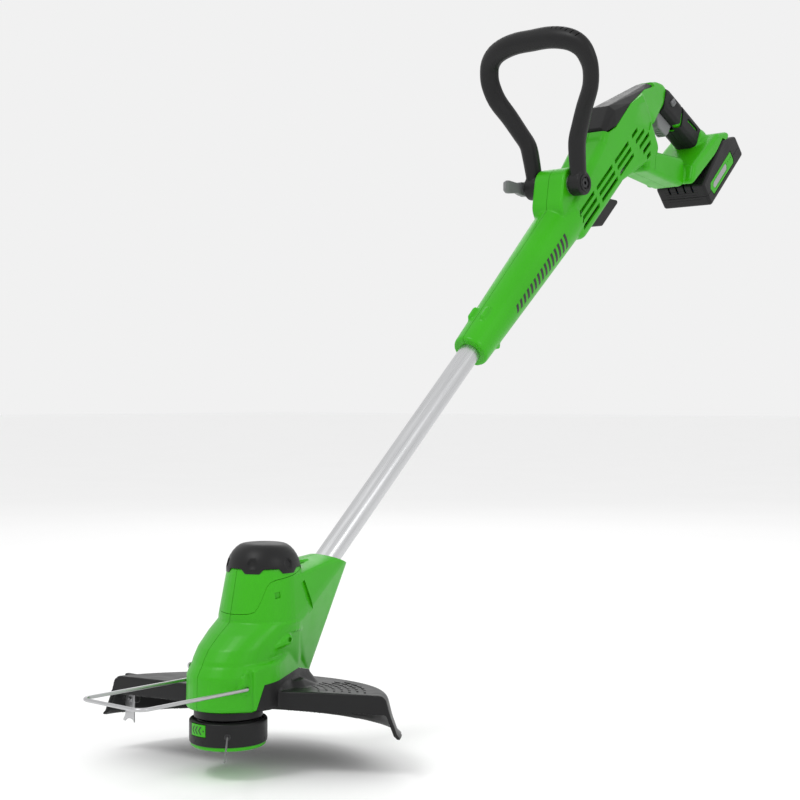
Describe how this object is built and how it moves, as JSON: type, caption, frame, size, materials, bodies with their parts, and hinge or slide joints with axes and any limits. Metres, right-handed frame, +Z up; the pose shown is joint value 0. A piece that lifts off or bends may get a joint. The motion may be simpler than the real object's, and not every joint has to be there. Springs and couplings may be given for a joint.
{
  "type": "string trimmer",
  "caption": "Battery string trimmer with an angled shaft, a geared line head under a half guard, a folding wire edge guard, a tilting loop handle and a pistol rear grip over a slide-on pack.",
  "frame": {"origin": "middle of the lower face of the line spool, on the axis that the cutting head turns about", "axes": "+Z up along the spool axis, +X back towards the user with the shaft rising to +X, +Y to the user's right; the tool is close to symmetric about Y = 0"},
  "size_m": [1.1178, 0.3151, 0.7885],
  "materials": {
    "green_plastic": "moulded satin",
    "black_plastic": "fine moulded grain",
    "soft_black": "soft moulded grip",
    "grey_plastic": "moulded satin",
    "white_plastic": "moulded",
    "aluminium_tube": "satin anodised",
    "steel": "plain",
    "spring_steel": "plain",
    "magnet": "sintered",
    "copper_core": "wound",
    "brass": "machined",
    "nylon_line": "extruded",
    "circuit_board": "lacquered",
    "cell_wrap": "shrink sleeve",
    "cable_sheath": "extruded"
  },
  "bodies": {
    "frame": {"head_shell_left": "green_plastic", "head_shell_right": "green_plastic", "motor_cap": "black_plastic", "head_screws": "steel", "gearbox_plate": "grey_plastic", "motor_can": "steel", "motor_magnets": "magnet", "bearing_lower": "steel", "bearing_upper": "steel", "neck_ring": "black_plastic", "guard": "black_plastic", "cutter_blade": "steel", "cutter_screws": "steel", "shaft_tube": "aluminium_tube", "power_lead": "cable_sheath", "housing_left": "green_plastic", "housing_right": "green_plastic", "top_cover": "black_plastic", "belly_cover": "black_plastic", "housing_screws": "steel", "pivot_bush": "steel", "grip_pad_left": "soft_black", "grip_pad_right": "soft_black", "trigger_pin": "steel", "trigger_spring": "spring_steel", "lock_spring": "spring_steel", "microswitch": "black_plastic", "control_board": "circuit_board", "terminal_block": "black_plastic"},
    "cutting_head": {"drive_gear": "white_plastic", "output_spindle": "steel", "spool_housing": "black_plastic", "line_spool": "grey_plastic", "wound_line": "nylon_line", "cutting_line": "nylon_line", "line_eyelet": "steel", "spool_cover": "green_plastic", "spool_spring": "spring_steel", "tab_springs": "spring_steel"},
    "motor_drive": {"motor_rotor": "copper_core", "motor_pinion": "brass", "motor_fan": "grey_plastic"},
    "front_tab": {"latch_tab_front": "green_plastic"},
    "rear_tab": {"latch_tab_rear": "green_plastic"},
    "edge_guard": {"wire_guard": "steel"},
    "loop_handle": {"aux_handle": "black_plastic", "pivot_bolt": "steel", "pivot_washers": "steel", "cam_pin": "steel"},
    "clamp_lever": {"cam_lever": "grey_plastic"},
    "squeeze_trigger": {"trigger": "grey_plastic"},
    "lock_off": {"lock_button": "grey_plastic"},
    "battery": {"battery_tray": "black_plastic", "battery_lid": "black_plastic", "battery_cells": "cell_wrap", "battery_contacts": "brass", "battery_label": "green_plastic", "latch_spring": "spring_steel"},
    "pack_latch": {"battery_latch": "grey_plastic"}
  },
  "joints": [
    {"name": "head_spin", "type": "hinge", "parent": "frame", "child": "cutting_head", "pos_m": [0, 0, 0], "axis": [0, 0, 1], "continuous": true},
    {"name": "rotor_spin", "type": "hinge", "parent": "frame", "child": "motor_drive", "pos_m": [0.048, 0, 0], "axis": [0, 0, 1], "continuous": true},
    {"name": "front_tab_press", "type": "slide", "parent": "cutting_head", "child": "front_tab", "axis": [0.9982, -0.0593, 0], "range_m": [0, 0.002], "stiffness_N_per_m": 1200, "springref_m": -0.0008, "deforming": ["tab_springs"]},
    {"name": "rear_tab_press", "type": "slide", "parent": "cutting_head", "child": "rear_tab", "axis": [-0.9982, 0.0593, 0], "range_m": [0, 0.002], "stiffness_N_per_m": 1200, "springref_m": -0.0008, "deforming": ["tab_springs"]},
    {"name": "edge_guard_fold", "type": "hinge", "parent": "frame", "child": "edge_guard", "pos_m": [-0.013, 0, 0.06], "axis": [0, 1, 0], "range_deg": [0, 88]},
    {"name": "loop_handle_tilt", "type": "hinge", "parent": "frame", "child": "loop_handle", "pos_m": [0.55872, 0, 0.60257], "axis": [0, 1, 0], "range_deg": [-30, 20]},
    {"name": "clamp_lever_flip", "type": "hinge", "parent": "loop_handle", "child": "clamp_lever", "pos_m": [0.55872, 0.051, 0.60257], "axis": [0, 0, -1], "range_deg": [0, 110]},
    {"name": "trigger_squeeze", "type": "hinge", "parent": "frame", "child": "squeeze_trigger", "pos_m": [0.79437, 0, 0.73586], "axis": [0, -1, 0], "range_deg": [0, 8], "stiffness_Nm_per_rad": 0.6, "springref_deg": -4.58, "deforming": ["trigger_spring"]},
    {"name": "lock_off_press", "type": "slide", "parent": "frame", "child": "lock_off", "axis": [0, 1, 0], "range_m": [0, 0.003], "stiffness_N_per_m": 500, "springref_m": -0.002, "deforming": ["lock_spring"]},
    {"name": "battery_slide", "type": "slide", "parent": "frame", "child": "battery", "axis": [0.7396, 0, 0.673], "range_m": [0, 0.13]},
    {"name": "pack_latch_press", "type": "slide", "parent": "battery", "child": "pack_latch", "axis": [0.673, 0, -0.7396], "range_m": [0, 0.003], "stiffness_N_per_m": 800, "springref_m": -0.0015, "deforming": ["latch_spring"]}
  ],
  "couplings": [
    {"joint": "rotor_spin", "follows": "head_spin", "ratio": -2.7647}
  ]
}
